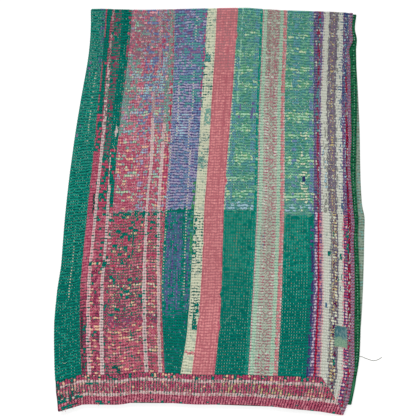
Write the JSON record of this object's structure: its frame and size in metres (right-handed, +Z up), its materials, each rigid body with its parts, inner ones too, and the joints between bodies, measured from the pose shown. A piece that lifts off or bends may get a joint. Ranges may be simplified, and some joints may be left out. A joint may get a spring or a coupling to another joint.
{
  "type": "folded kantha quilt",
  "caption": "Stitched cotton quilt with striped and plaid panels, folded lengthwise and crosswise and lying flat.",
  "frame": {"origin": "middle of the folded quilt's bounding box, at the surface it lies on", "axes": "+Z up from the surface; +Y from the hems to the top fold; +X from the lengthwise fold to the open edges"},
  "size_m": [0.8809, 1.126, 0.0212],
  "materials": {
    "quilted_cotton": "matt, worn and puckered by running stitch",
    "patch_cotton": "matt, darned at its edges",
    "sewing_thread": "matt spun cotton"
  },
  "bodies": {
    "root": {"quilt": "quilted_cotton", "repair_patch": "patch_cotton", "loose_thread": "sewing_thread"}
  },
  "joints": []
}
